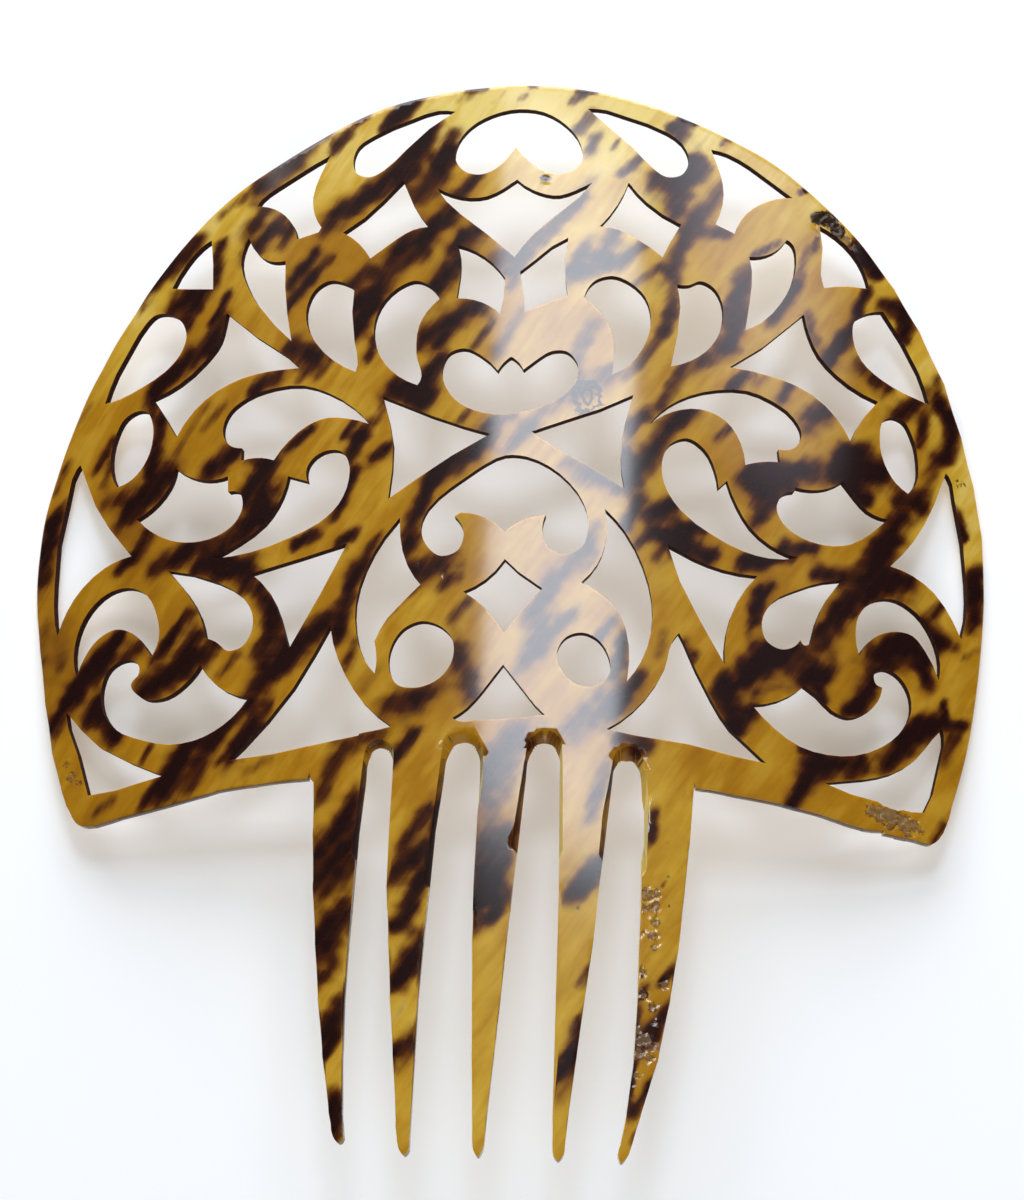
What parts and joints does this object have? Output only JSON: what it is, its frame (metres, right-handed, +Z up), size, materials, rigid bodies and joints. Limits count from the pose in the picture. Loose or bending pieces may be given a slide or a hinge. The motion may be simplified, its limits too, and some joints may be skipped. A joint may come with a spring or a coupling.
{
  "type": "mantilla comb",
  "caption": "One-piece ornamental hair comb: a wide, tall heading pierced with scrollwork, bent to a shallow curve, on long tapered tines that push into the hair.",
  "frame": {"origin": "Bottom centre of the bounding box: on the surface the comb lies on, midway along its width and its length.", "axes": "Y runs along the comb from the tips of the tines (-Y) to the crest (+Y). X runs across it. Z points up from the surface, and the rounded front of the comb faces up."},
  "size_m": [0.1728, 0.204, 0.0229],
  "materials": {
    "tortoiseshell": "gloss"
  },
  "bodies": {
    "root": {"comb": "tortoiseshell"}
  },
  "joints": []
}
